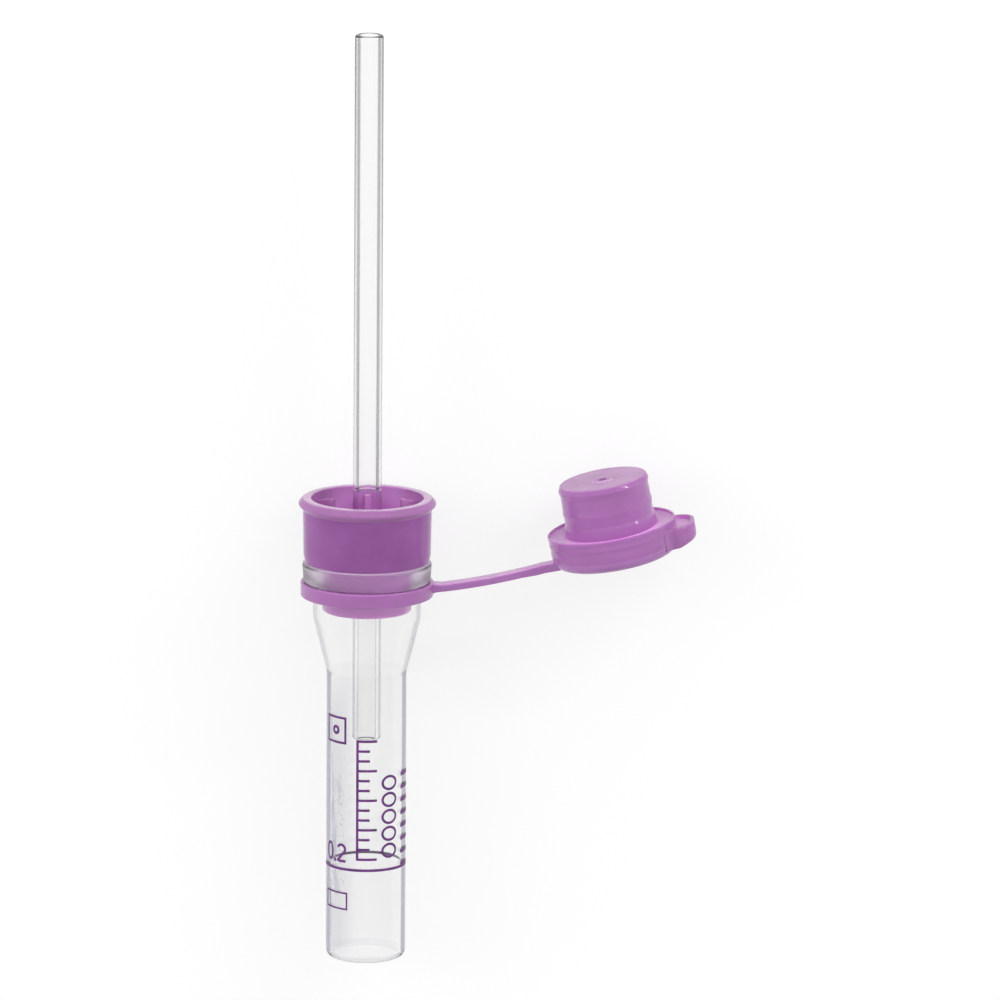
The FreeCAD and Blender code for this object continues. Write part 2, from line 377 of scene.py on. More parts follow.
def purple_plastic(name, low, high, rough, gloss=0.22, coat=0, relief=0.12):
    """Coloured plastic between two shades, which light enters a little way."""
    material, nodes, links = new_material(name)
    shader = nodes["Principled BSDF"]
    mottle, sheen, surface = (grain(nodes, links, scale) for scale in (260, 900, 1800))
    links.new(ramp(nodes, links, mottle, low, high), shader.inputs["Base Color"])
    links.new(spread(nodes, links, sheen, *rough), shader.inputs["Roughness"])
    links.new(bump(nodes, links, surface, relief, 0.00001), shader.inputs["Normal"])
    shader.inputs["Subsurface Weight"].default_value = 1
    shader.inputs["Subsurface Radius"].default_value = (1.0, 0.5, 1.0)
    shader.inputs["Subsurface Scale"].default_value = 0.0004
    shader.inputs["IOR"].default_value = 1.5
    shader.inputs["Specular IOR Level"].default_value = gloss
    shader.inputs["Coat Weight"].default_value = coat
    return material


plain = ((0, 1), (1, 0.97))
plastic_index, glass_index, frosted_index = 1.49, 1.50, 1.28
tube_slab_index, cup_slab_index = 1.06, 1.03
moulded = {"rough": (0.01, 0.05), "wave": 0.05}
drawn = {"rough": (0.0, 0.02), "wave": 0.02}
wall_colour, wall_shade = (0.96, 0.958, 0.962), (0, 0, 0.10)
neck_colour, neck_bore_colour = (0.993, 0.993, 0.993), (0.995, 0.995, 0.995)
water_white = (0.99, 0.99, 0.99)
# The ramps in these clear colours are painted edge shade: they darken each wall towards grazing
# angles, where refraction and reflection show darker surroundings.
tube_clear = clear_plastic("tube_clear", wall_colour,
                           ((0, 1), (0.53, 0.97), (0.60, 0.21), (1, 0.13)),
                           plastic_index, shade=wall_shade, **moulded)
tube_neck = clear_plastic("tube_neck", neck_colour,
                          ((0, 1), (0.30, 0.97), (0.55, 0.90), (0.66, 0.50), (1, 0.40)),
                          plastic_index, shade=wall_shade, **moulded)
# The foot's rounding is greyed even where it faces the eye: painted shade.
tube_foot_painted_shade = clear_plastic("tube_foot_painted_shade", wall_colour,
                          ((0, 0.90), (0.30, 0.86), (0.50, 0.72), (0.80, 0.50), (1, 0.42)),
                          tube_slab_index, shade=wall_shade, **moulded)
tube_base = clear_plastic("tube_base", water_white, plain, tube_slab_index, **moulded)
tube_bore = clear_plastic("tube_bore", wall_colour, plain, plastic_index, **moulded)
neck_bore = clear_plastic("neck_bore", neck_bore_colour, plain, plastic_index, **moulded)
rim_frosted = clear_plastic("rim_frosted", (0.90, 0.83, 0.92),
                            ((0, 1), (0.5, 0.97), (1, 0.85)), frosted_index,
                            (0.28, 0.34), 0.0, through=0.90)
# A less clear, lighter pink for the rim's top rounding: a painted highlight line.
rim_edge_painted_highlight = clear_plastic("rim_edge_painted_highlight", (0.80, 0.60, 0.82), plain, frosted_index,
                         (0.16, 0.22), 0.03, 600, through=0.35)
glass_colour = (0.968, 0.968, 0.972)
capillary_clear = clear_plastic("capillary_clear", glass_colour,
                                ((0, 1), (0.21, 0.97), (0.245, 0.24), (0.36, 0.22),
                                 (0.46, 0.72), (0.58, 0.95), (1, 0.97)),
                                glass_index, **drawn)
capillary_low = clear_plastic("capillary_low", (1, 1, 1),
                              ((0, 1), (0.42, 0.97), (0.50, 0.50), (1, 0.46)),
                              glass_index, shade=wall_shade, **drawn)
capillary_cup = clear_plastic("capillary_cup", water_white,
                              ((0, 1), (0.22, 0.97), (0.28, 0.84), (0.46, 0.82),
                               (0.55, 0.76), (1, 0.66)),
                              cup_slab_index, **drawn)
capillary_sleeve = clear_plastic("capillary_sleeve", water_white, plain, cup_slab_index, **drawn)
capillary_bore = clear_plastic("capillary_bore", water_white,
                               ((0, 1), (0.50, 0.99), (0.64, 0.42), (1, 0.32)),
                               glass_index, **drawn)
holder_purple = purple_plastic("holder_purple", (0.355, 0.130, 0.39), (0.395, 0.150, 0.43),
                               (0.10, 0.16), 0.10)
# The holder is one moulding. The lighter copies of holder_purple below are painted light, for
# light that comes through its translucent wall into the cup, lip, fins and plug; on the lip's top
# they are also painted reflection.
holder_inside_painted_light = purple_plastic("holder_inside_painted_light", (0.58, 0.275, 0.60), (0.62, 0.30, 0.64),
                               (0.12, 0.20))
holder_lip_painted_light = purple_plastic("holder_lip_painted_light", (0.45, 0.210, 0.465), (0.49, 0.230, 0.505),
                            (0.10, 0.16), 0.1)
holder_fin_painted_light = purple_plastic("holder_fin_painted_light", (0.66, 0.33, 0.66), (0.70, 0.36, 0.70),
                            (0.20, 0.28), 0.1)
holder_land_painted_light = purple_plastic("holder_land_painted_light", (0.58, 0.25, 0.59), (0.62, 0.28, 0.63),
                             (0.10, 0.16), 0.5, coat=0.6)
holder_plug_painted_light = purple_plastic("holder_plug_painted_light", (0.88, 0.36, 0.89), (0.94, 0.40, 0.95),
                             (0.12, 0.20))
soft_purple = purple_plastic("soft_purple", (0.46, 0.188, 0.480), (0.50, 0.208, 0.530),
                             (0.10, 0.15), 0.35, relief=0.05)
# A lighter copy of soft_purple: painted light, for the thin strap and the flange's lower rounding.
strap_and_flange_painted_light = purple_plastic("strap_and_flange_painted_light", (0.52, 0.24, 0.56), (0.56, 0.26, 0.60),
                              (0.12, 0.20))
# A much lighter copy of soft_purple: painted light, on faces that look up the tube: the cap's land
# and gate ring, the strap's top and the tab's recess.
lilac_painted_light = purple_plastic("lilac_painted_light", (0.84, 0.43, 0.85), (0.90, 0.49, 0.91),
                             (0.20, 0.28), 0.3)
cap_face = purple_plastic("cap_face", (0.47, 0.20, 0.48), (0.58, 0.27, 0.59),
                          (0.20, 0.26), 0.4, relief=0.05)

film_dry = clear_plastic("film_dry", (0.84, 0.87, 0.91), plain, 1.05, (0.30, 0.60), 0.4, 3000)
crystal_dry = clear_plastic("crystal_dry", (0.95, 0.96, 0.97), plain, 1.30, (0.05, 0.20), 0.4,
                            3000)


def tube_place(nodes, links):
    """Place in the tube's own frame, in metres."""
    place = nodes.new("ShaderNodeTexCoord")
    mapping = nodes.new("ShaderNodeMapping")
    mapping.vector_type = "TEXTURE"
    mapping.inputs["Location"].default_value = to_row.translation
    mapping.inputs["Rotation"].default_value = to_row.to_euler()
    links.new(place.outputs["Object"], mapping.inputs["Vector"])
    return mapping.outputs["Vector"]


def paint_light_down(material, top, bottom, share):
    """Paints light: lightens a colour from one height on the tube down to another, standing in for
    light that gathers there.
    """
    nodes, links = material.node_tree.nodes, material.node_tree.links
    shader = nodes["Principled BSDF"]
    source = shader.inputs["Base Color"].links[0].from_socket
    split = nodes.new("ShaderNodeSeparateXYZ")
    links.new(tube_place(nodes, links), split.inputs["Vector"])
    fade = nodes.new("ShaderNodeMapRange")
    fade.inputs["From Min"].default_value = top
    fade.inputs["From Max"].default_value = bottom
    links.new(split.outputs["Z"], fade.inputs["Value"])
    gain = nodes.new("ShaderNodeMapRange")
    gain.inputs["To Min"].default_value = 1
    gain.inputs["To Max"].default_value = share
    links.new(fade.outputs["Result"], gain.inputs["Value"])
    scaled = nodes.new("ShaderNodeVectorMath")
    scaled.operation = "SCALE"
    links.new(source, scaled.inputs[0])
    links.new(gain.outputs["Result"], scaled.inputs["Scale"])
    links.new(scaled.outputs["Vector"], shader.inputs["Base Color"])


def add_haze(material, clear, hazy):
    """Colours a bore by the dried haze on its left, in streaks that run along the tube."""
    nodes, links = material.node_tree.nodes, material.node_tree.links
    place = tube_place(nodes, links)
    split = nodes.new("ShaderNodeSeparateXYZ")
    links.new(place, split.inputs["Vector"])
    stretch = nodes.new("ShaderNodeVectorMath")
    stretch.operation = "MULTIPLY"
    stretch.inputs[1].default_value = (1, 1, 0.08)
    links.new(place, stretch.inputs[0])
    streaks = nodes.new("ShaderNodeTexNoise")
    streaks.inputs["Scale"].default_value = 900
    streaks.inputs["Detail"].default_value = 3
    links.new(stretch.outputs["Vector"], streaks.inputs["Vector"])
    factor = spread(nodes, links, streaks.outputs["Fac"], 0.65, 1)
    for axis, none, full in (("X", -0.0006, -0.0036), ("Z", 0.031, 0.024)):
        fade = nodes.new("ShaderNodeMapRange")
        fade.interpolation_type = "SMOOTHSTEP"
        fade.inputs["From Min"].default_value = none
        fade.inputs["From Max"].default_value = full
        links.new(split.outputs[axis], fade.inputs["Value"])
        product = nodes.new("ShaderNodeMath")
        product.operation = "MULTIPLY"
        links.new(factor, product.inputs[0])
        links.new(fade.outputs["Result"], product.inputs[1])
        factor = product.outputs[0]
    blend = nodes.new("ShaderNodeValToRGB")
    blend.color_ramp.elements[0].color = (*clear, 1)
    blend.color_ramp.elements[1].color = (*hazy, 1)
    links.new(factor, blend.inputs["Fac"])
    links.new(blend.outputs["Color"], nodes["Principled BSDF"].inputs["Base Color"])


add_haze(tube_bore, wall_colour, (0.70, 0.69, 0.73))
# Painted light: the cup's inside grows lighter deeper down, for light that comes through its
# translucent wall.
lip_level = holder_top * 0.001
paint_light_down(holder_inside_painted_light, lip_level - 0.0004, lip_level - 0.0026, 1.45)

ink, ink_nodes, ink_links = new_material("ink")
ink_shader = ink_nodes["Principled BSDF"]
ink_shader.inputs["Roughness"].default_value = 0.5
ink_links.new(ramp(ink_nodes, ink_links, grain(ink_nodes, ink_links, 900, 4),
                   (0.10, 0.018, 0.15), (0.19, 0.04, 0.25)), ink_shader.inputs["Base Color"])


# ---------------------------------------------------------------- sample tube

bm = bmesh.new()
turned(bm, [
    (0, 0, 0),
    (body_radius, 0, foot_rounding),
    (body_radius, body_height, shoulder_rounding),
    (neck_radius, neck_bottom, shoulder_rounding),
    (neck_radius, rim_bottom, 0),
    (rim_radius - rim_draft, rim_bottom, corner_rounding),
    (rim_radius, rim_top, rim_rounding),
    (mouth_radius + mouth_lead_in, rim_top, 0),
    (mouth_radius, rim_top - mouth_lead_in, 0),
    (mouth_radius, rim_bottom, 0),
    (neck_radius - tube_wall, rim_bottom - mouth_lip, 0),
    (neck_radius - tube_wall, neck_bottom, shoulder_rounding),
    (bore_radius, body_height, shoulder_rounding),
    (bore_radius, floor_thickness, foot_rounding - tube_wall),
    (0, floor_thickness, 0),
], segments=192, steps=8)
bm.normal_update()
tube_looks = [tube_clear, rim_frosted, tube_bore, tube_foot_painted_shade, tube_neck, tube_base, rim_edge_painted_highlight,
              neck_bore]
# The rim's top rounding takes a painted highlight, and the foot's rounding takes painted shade.
for face in bm.faces:
    look = tube_clear
    level = face.calc_center_median().z
    outward = face.normal.xy.dot(face.calc_center_median().xy) > 0
    if level > rim_top - rim_rounding and outward and face.normal.z > 0.6:
        look = rim_edge_painted_highlight
    elif level > rim_bottom - mouth_lip:
        look = rim_frosted
    elif abs(face.normal.z) > 0.97 and level < foot_rounding:
        look = tube_base
    elif not outward:
        look = neck_bore if level > neck_start else tube_bore
    elif level < foot_rounding:
        look = tube_foot_painted_shade
    elif level > neck_start:
        look = tube_neck
    face.material_index = tube_looks.index(look)
tube_shell = finish_piece("tube_shell", bm, tube_looks, tube_frame)
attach(tube_shell, "tube")
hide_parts("sample_tube")

# ---------------------------------------------------------------- capillary

bm = bmesh.new()
capillary_top = capillary_bottom + capillary_length
turned(bm, [
    (capillary_bore_radius, capillary_bottom, capillary_rounding),
    (capillary_radius, capillary_bottom, 0.32),
    (capillary_radius, rim_bottom, 0),
    (capillary_radius, sleeve_top, 0),
    (capillary_radius, capillary_top, 0.20),
    (capillary_bore_radius, capillary_top, capillary_rounding),
    (capillary_bore_radius, sleeve_top, 0),
    (capillary_bore_radius, rim_bottom, 0),
], segments=96)
capillary_looks = [capillary_clear, capillary_bore, capillary_low, capillary_cup,
                   capillary_sleeve]
# Each stretch of the capillary takes its own painted edge shade: inside the tube, inside the cup,
# and above it.
for face in bm.faces:
    look = capillary_clear
    place = face.calc_center_median()
    if place.xy.length < capillary_bore_radius + 0.02:
        look = capillary_sleeve if rim_bottom < place.z < sleeve_top else capillary_bore
    elif place.z < rim_bottom:
        look = capillary_low
    elif place.z < sleeve_top:
        look = capillary_cup
    face.material_index = capillary_looks.index(look)
capillary_glass = finish_piece("capillary_glass", bm, capillary_looks, tube_frame)
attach(capillary_glass, "holder")
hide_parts("capillary")

# ---------------------------------------------------------------- capillary holder

bm = bmesh.new()
plug_radius = mouth_radius - plug_fit
plug_bottom = shoulder_level - plug_depth
holder_foot = holder_radius - holder_draft
capillary_hole = capillary_radius + grip_gap
turned(bm, [
    (capillary_hole, shoulder_level - hub_drop, 0),
    (hub_radius, shoulder_level - hub_drop, corner_rounding),
    (hub_radius, shoulder_level, corner_rounding),
    (plug_radius - plug_wall, shoulder_level, corner_rounding),
    (plug_radius - plug_wall, plug_bottom, 0),
    (plug_radius, plug_bottom, plug_rounding),
    (plug_radius, shoulder_level, 0),
    (holder_foot - holder_chamfer, shoulder_level, 0),
    (holder_foot, shoulder_level + holder_chamfer_height, 0),
    (holder_radius, holder_top - lip_foot, lip_rounding),
    (lip_radius + 0.10, holder_top - lip_edge, lip_rounding),
    (lip_radius - lip_slope, holder_top, 0.40),
    (cup_radius, holder_top, 0.10),
    (cup_radius - cup_draft, cup_floor_level, corner_rounding),
    (hub_radius, cup_floor_level, corner_rounding),
    (hub_radius, cup_floor_level + hub_rise, corner_rounding),
    (capillary_hole, cup_floor_level + hub_rise, 0),
], segments=192)
bmesh.ops.recalc_face_normals(bm, faces=bm.faces)
holder_looks = [holder_purple, holder_inside_painted_light, holder_plug_painted_light, holder_land_painted_light, holder_lip_painted_light]
# The lip's top, the cup's inside, the lip's outer face and the plug take lighter copies of the
# holder's colour: painted light.
for face in bm.faces:
    look = holder_purple
    place = face.calc_center_median()
    if place.z > holder_top - 0.03:
        look = holder_land_painted_light
    elif place.xy.length < cup_radius + 0.05 and place.z > shoulder_level + 0.1:
        look = holder_inside_painted_light
    elif place.xy.length > holder_radius + 0.005:
        look = holder_lip_painted_light
    elif place.z < shoulder_level - 0.01:
        look = holder_plug_painted_light
    face.material_index = holder_looks.index(look)
holder_cup = finish_piece("holder_cup", bm, holder_looks, tube_frame)

fin_bottom = cup_floor_level - cup_floor / 2
fin_top = holder_top - fin_drop
fin_inner = cup_radius - fin_width
fin_outer = cup_radius + cup_wall / 2
bm = bmesh.new()
for index in range(fin_count):
    start = len(bm.verts)
    outline = rounded([
        (fin_inner, fin_bottom, 0),
        (fin_outer, fin_bottom, 0),
        (fin_outer, fin_top - fin_slope, 0),
        (fin_inner, fin_top, fin_rounding),
    ])
    sides = []
    for offset in (-fin_thickness / 2, fin_thickness / 2):
        sides.append([bm.verts.new((point.x, offset, point.y)) for point in outline])
    bridge(bm, *sides)
    bm.faces.new(sides[0])
    bm.faces.new(sides[1][::-1])
    turn = Matrix.Rotation(2 * math.pi * (index + 0.5) / fin_count, 4, "Z")
    bmesh.ops.transform(bm, matrix=turn, verts=sides[0] + sides[1])
# The fins take a lighter copy of the holder's colour: painted light.
fins = finish_piece("holder_fins", bm, [holder_fin_painted_light], tube_frame)
join = holder_cup.modifiers.new("fins", "BOOLEAN")
join.operation = "UNION"
join.solver = "EXACT"
join.material_mode = "TRANSFER"
join.object = fins
bpy.context.view_layer.update()
depsgraph = bpy.context.evaluated_depsgraph_get()
joined = bpy.data.meshes.new_from_object(holder_cup.evaluated_get(depsgraph))
holder_cup.modifiers.clear()
holder_cup.data = joined
bpy.data.objects.remove(fins)
joined.set_sharp_from_angle(angle=sharp_turn)
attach(holder_cup, "holder")
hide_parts("capillary_holder")

# ---------------------------------------------------------------- tether ring

bm = bmesh.new()
turned(bm, [
    (ring_inner, ring_bottom, 0),
    (ring_radius, ring_bottom, ring_rounding),
    (ring_radius, ring_top - ring_bevel, ring_bevel_rounding),
    (ring_radius - ring_bevel, ring_top, ring_bevel_rounding),
    (ring_inner, ring_top, 0),
], segments=192)
tether_band = finish_piece("tether_band", bm, [soft_purple], tube_frame)
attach(tether_band, "ring")
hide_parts("tether_ring")


# ---------------------------------------------------------------- tether strap

def bar_section(bm, middle, across, lift, half_width, above, below, rounding):
    """Row of vertices round a strap's section; lift points up out of its upper face."""
    row = []
    for point in rounded([
        (-half_width, -below, rounding),
        (half_width, -below, rounding),
        (half_width, above, rounding),
        (-half_width, above, rounding),
    ], 4):
        row.append(bm.verts.new(middle + across * point.x + lift * point.y))
    return row


def strap_line(step):
    """Centre, direction, and height above and below the centre, from ring 0 to cap 1."""
    half = strap_thickness / 2
    start = math.radians(strap_rise - strap_bow / 2)
    stop = math.radians(strap_rise + strap_bow / 2)
    bow = strap_length / (2 * math.sin(math.radians(strap_bow / 2)))
    if step <= 0.1:
        share = step / 0.1
        inner = Vector((ring_radius - 0.5, 0, root_bend.z - 0.02))
        middle = inner.lerp(root_bend, share)
        ease = (1 - share) ** 2
        more_above, more_below = strap_root_flare
        return middle, start, half + more_above * ease, half + more_below * ease
    if step >= 0.9:
        share = (step - 0.9) / 0.1
        lean = math.radians(cap_lean)
        reach = tip_length + 0.8
        middle = tip_bend + Vector((math.cos(lean), 0, math.sin(lean))) * reach * share
        turn = stop + (lean - stop) * min(1, share * 2)
        return middle, turn, half, half + strap_keel
    keel = strap_keel * min(1, max(0, step - 0.72) / 0.12)
    angle = start + (stop - start) * (step - 0.1) / 0.8
    centre = root_bend + Vector((-math.sin(start), 0, math.cos(start))) * bow
    middle = centre + Vector((math.sin(angle), 0, -math.cos(angle))) * bow
    return middle, angle, half, half + keel


def make_strap(name, first, last):
    """Stretch of the strap between two shares of its line, on rows of one section."""
    bm = bmesh.new()
    count = 48
    rows = []
    for index in range(count + 1):
        middle, angle, above, below = strap_line(first + (last - first) * index / count)
        lift = Vector((-math.sin(angle), 0, math.cos(angle)))
        rows.append(bar_section(bm, middle, Vector((0, 1, 0)), lift, strap_width / 2,
                                above, below, strap_rounding))
    for row, following in zip(rows, rows[1:]):
        bridge(bm, row, following)
    bm.faces.new(rows[0])
    bm.faces.new(rows[-1][::-1])
    bmesh.ops.recalc_face_normals(bm, faces=bm.faces)
    strap_looks = [strap_and_flange_painted_light, lilac_painted_light]
    # The strap's upper faces take a lighter copy: painted light.
    for face in bm.faces:
        if face.normal.z > 0.8:
            face.material_index = strap_looks.index(lilac_painted_light)
    return finish_piece(name, bm, strap_looks, tube_frame)


strap_root = make_strap("strap_root", 0, 0.5)
strap_tip = make_strap("strap_tip", 0.5, 1)
for piece, bodies, bend in ((strap_root, ("ring", "strap"), root_bend),
                            (strap_tip, ("strap", "cap"), tip_bend)):
    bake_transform(piece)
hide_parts("tether_strap")

# ---------------------------------------------------------------- cap

bm = bmesh.new()
land_radius = stopper_radius - stopper_relief
hollow_radius = land_radius - stopper_wall
dish = stopper_height - dish_depth
turned(bm, [
    (0, dish - dimple_radius, 0),
    (dimple_radius, dish, 0.05),
    (dimple_radius, dish + gate_height, 0.04),
    (gate_radius, dish + gate_height, 0.05),
    (gate_radius + gate_height, dish, 0.05),
    (land_radius - 0.08, stopper_height, 0.24),
    (stopper_radius, stopper_height - 0.50, 0.30),
    (land_radius + 0.02, stopper_height - 1.05, 0.30),
    (land_radius + 0.04, step_height + 0.65, 0.30),
    (stopper_radius - 0.03, step_height + 0.10, 0.25),
    (land_radius + 0.03, step_height - 0.40, 0.30),
    (land_radius + 0.02, 0.98, 0.25),
    (stopper_radius, 0.62, 0.14),
    (stopper_radius + 0.10, -dish_fall, 0.30),
    (flange_radius - edge_width - 0.03, -edge_height, 0.06),
    (flange_radius - edge_width, 0, 0.06),
    (flange_radius, 0, 0.08),
    *((flange_radius - inset, level, rounding) for inset, level, rounding in flange_ridges),
    (flange_radius - flange_draft, -flange_height, flange_rounding),
    (hollow_radius, -flange_height, corner_rounding),
    (hollow_radius, dish - stopper_wall, stopper_wall),
    (0, dish - stopper_wall, 0),
], segments=192)
cap_looks = [soft_purple, lilac_painted_light, cap_face, strap_and_flange_painted_light, holder_purple]
# The land and the gate ring take painted light, the gate ring as a painted highlight; the dimple
# takes the darker holder_purple as painted shade, and the flange's lower rounding takes a lighter
# copy as painted light.
for face in bm.faces:
    look = soft_purple
    place = face.calc_center_median()
    reach = place.xy.length
    if -dish_fall - 0.02 < place.z < 0.02 and reach < flange_radius - edge_width + 0.01:
        look = lilac_painted_light
    elif dish - 1 < place.z < dish + 0.01 and reach < dimple_radius:
        look = holder_purple
    elif place.z > dish - 0.02 and reach < land_radius - 0.1:
        look = lilac_painted_light if gate_radius < reach < gate_radius + 0.1 else cap_face
    elif place.z < -flange_height + flange_rounding and reach > hollow_radius + 0.1:
        look = strap_and_flange_painted_light
    face.material_index = cap_looks.index(look)
cap_shell = finish_piece("cap_shell", bm, cap_looks, cap_frame)
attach(cap_shell, "cap")
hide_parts("stopper_cap")

tab_tip = flange_radius + tab_reach
tab_start = flange_radius - tab_root


def tab_outline(inset):
    """Plan of the thumb tab, drawn in by inset, from one side round its tip to the other."""
    half = tab_width / 2 - inset
    tip = tab_tip - inset
    rounding = tab_rounding - inset
    points = []
    for step in range(9):
        share = step / 8
        points.append((tab_start + tab_flare_length * share,
                       -half - tab_flare * (1 - share) ** 2))
    for turn in range(0, 91, 6):
        angle = math.radians(turn)
        points.append((tip - rounding + rounding * math.sin(angle),
                       -half + rounding - rounding * math.cos(angle)))
    return points + [(x, -y) for x, y in reversed(points)]


def tab_floor(x):
    """Height of the tab's underside, which rises to the tip."""
    run = (x - flange_radius) / tab_reach
    return tab_lift - flange_height + tab_rise * max(run, 0)


bm = bmesh.new()
rows = []
for inset, height, above_floor in (
        (0.34, 0.00, True), (0.16, 0.06, True), (0.05, 0.17, True), (0.00, 0.34, True),
        (0.00, -tab_drop - 0.12, False), (0.04, -tab_drop - 0.04, False),
        (0.12, -tab_drop, False), (tab_edge - 0.10, -tab_drop, False),
        (tab_edge - 0.03, -tab_drop - 0.04, False), (tab_edge, -tab_drop - 0.12, False),
        (tab_edge + 0.04, -tab_drop - tab_recess + 0.06, False),
        (tab_edge + 0.14, -tab_drop - tab_recess, False)):
    rows.append([bm.verts.new((x, y, height + (tab_floor(x) if above_floor else 0)))
                 for x, y in tab_outline(inset)])
for row, following in zip(rows, rows[1:]):
    bridge(bm, row, following)
bm.faces.ensure_lookup_table()
tab_looks = [soft_purple, lilac_painted_light]
# The recess's walls and floor take a lighter copy: painted light.
for face in bm.faces[-3 * len(rows[0]):]:
    face.material_index = tab_looks.index(lilac_painted_light)
for row in (rows[0], rows[-1]):
    count = len(row)
    for index in range(count // 2 - 1):
        face = bm.faces.new((row[index], row[index + 1],
                             row[count - 2 - index], row[count - 1 - index]))
        face.material_index = tab_looks.index(lilac_painted_light if row is rows[-1] else soft_purple)
cap_tab = finish_piece("cap_tab", bm, tab_looks, cap_frame)
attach(cap_tab, "cap")

# ---------------------------------------------------------------- print on the tube

print_radius = body_radius + 0.005
ink_thickness = 0.012
line, fill_line, field_line, square_line, bar_line = 0.26, 0.28, 0.18, 0.24, 0.42
digit_line, dot_line = 0.27, 0.30


def wrap(bm, row, radius):
    """Vertices round the tube from (azimuth in mm of arc, height); 0 faces the camera."""
    made = []
    for across, height in row:
        angle = across / print_radius
        made.append(bm.verts.new((radius * math.sin(angle), -radius * math.cos(angle), height)))
    return made


def stroke(bm, points, width, closed=False):
    """Raised line of ink of a width along points (arc, height) on the tube's wall."""
    dense = []
    pairs = list(zip(points, points[1:] + points[:1]))
    if not closed:
        pairs = pairs[:-1]
    for first, second in pairs:
        run = math.dist(first, second)
        count = max(1, math.ceil(run / 0.25))
        for index in range(count):
            share = index / count
            dense.append((first[0] + (second[0] - first[0]) * share,
                          first[1] + (second[1] - first[1]) * share))
    if not closed:
        dense.append(points[-1])
    left, right = [], []
    count = len(dense)
    for index, here in enumerate(dense):
        before = dense[(index - 1) % count] if closed or index else here
        after = dense[(index + 1) % count] if closed or index < count - 1 else here
        arrive = Vector(here) - Vector(before)
        leave = Vector(after) - Vector(here)
        arrive = arrive.normalized() if arrive.length > 1e-9 else leave.normalized()
        leave = leave.normalized() if leave.length > 1e-9 else arrive
        tangent = (arrive + leave).normalized()
        spreadout = width / 2 / max(0.5, tangent.dot(arrive))
        normal = Vector((-tangent.y, tangent.x)) * spreadout
        left.append((here[0] + normal.x, here[1] + normal.y))
        right.append((here[0] - normal.x, here[1] - normal.y))
    top = print_radius + ink_thickness
    sides = [wrap(bm, left, print_radius), wrap(bm, left, top),
             wrap(bm, right, top), wrap(bm, right, print_radius)]
    for index in range(4):
        bridge(bm, sides[index], sides[(index + 1) % 4], closed)
    if not closed:
        for end in (0, -1):
            bm.faces.new([side[end] for side in sides])


def degrees(azimuth):
    """Arc in millimetres from an azimuth in degrees off the side that faces the camera."""
    return math.radians(azimuth) * print_radius


def box_line(bm, left, right, low, high, width):
    stroke(bm, [(left, low), (right, low), (right, high), (left, high)], width, True)


def oval(centre, half_width, half_height, count=28):
    return [(centre[0] + half_width * math.cos(2 * math.pi * index / count),
             centre[1] + half_height * math.sin(2 * math.pi * index / count))
            for index in range(count)]


bm = bmesh.new()
ring_level = 9.75
stroke(bm, [(degrees(azimuth), ring_level) for azimuth in range(0, 361, 4)], fill_line)
# the fill line's number, 0.2
digit_low, digit_height, digit_width = 10.42, 1.95, 1.18
low = digit_low + digit_line / 2
high = digit_low + digit_height - digit_line / 2
half = (digit_width - digit_line) / 2
zero = (degrees(-70) + digit_width / 2, (low + high) / 2)
stroke(bm, oval(zero, half, (high - low) / 2), digit_line, True)
point = zero[0] + digit_width / 2 + 0.26
stroke(bm, [(point - 0.15, low), (point + 0.15, low)], dot_line)
centre = point + 0.26 + digit_width / 2
two = [(centre + half * math.cos(math.radians(turn)),
        high - half * 0.95 + half * 0.95 * math.sin(math.radians(turn)))
       for turn in range(165, -46, -15)]
two += [(centre - half, low + 0.05), (centre - half + 0.05, low), (centre + half + 0.06, low)]
stroke(bm, two, digit_line)
# field for a label, and the square above it
box_line(bm, degrees(-71), degrees(-28), 5.60, 7.25, field_line)
box_line(bm, degrees(-68.5), degrees(-31), 22.75, 25.30, square_line)
stroke(bm, oval((degrees(-48.5), 24.0), 0.34, 0.34, 20), dot_line, True)
# graduated scale up the front
scale_low, scale_high = 10.75, 23.20
scale_left = degrees(-12)
stroke(bm, [(scale_left, scale_low), (scale_left, scale_high)], line)
for index in range(13):
    level = scale_low + line / 2 + index * (scale_high - scale_low - line) / 12
    stroke(bm, [(scale_left, level), (degrees(16.5 if index % 3 == 0 else 6), level)], line)
# column of rings, and column of bars, beside it
for index in range(5):
    stroke(bm, oval((degrees(36.5), 11.7 + index * 1.75), 0.80, 0.66), line, True)
for index in range(8):
    level = 10.0 + index * 1.33
    stroke(bm, [(degrees(60), level), (degrees(88), level)], bar_line)
print_marks = finish_piece("print_marks", bm, [ink], tube_frame)
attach(print_marks, "tube")

# ---------------------------------------------------------------- dried additive in the tube

random.seed(7)
film_radius = bore_radius - 0.010
film_depth = 0.020
crystal_radius = bore_radius - 0.045


def smear(bm, centre, width, low, high, ragged):
    """Thin closed film on the inner wall round a centre line of azimuths, in degrees."""
    count = max(8, round((high - low) / 0.25))
    sides = [[], [], [], []]
    for step in range(count + 1):
        share = step / count
        half = width / 2 * math.sin(math.pi * (0.06 + 0.88 * share)) ** 0.6
        wander = centre(share)
        left = wander - half + random.uniform(-ragged, ragged)
        right = max(left + 0.4, wander + half + random.uniform(-ragged, ragged))
        height = low + (high - low) * share
        for side, azimuth, radius in ((0, left, film_radius), (1, right, film_radius),
                                      (2, right, film_radius - film_depth),
                                      (3, left, film_radius - film_depth)):
            turn = math.radians(azimuth)
            sides[side].append(bm.verts.new((radius * math.sin(turn),
                                             -radius * math.cos(turn), height)))
    for side in range(4):
        bridge(bm, sides[side], sides[(side + 1) % 4], False)
    for end in (0, -1):
        bm.faces.new([side[end] for side in sides])


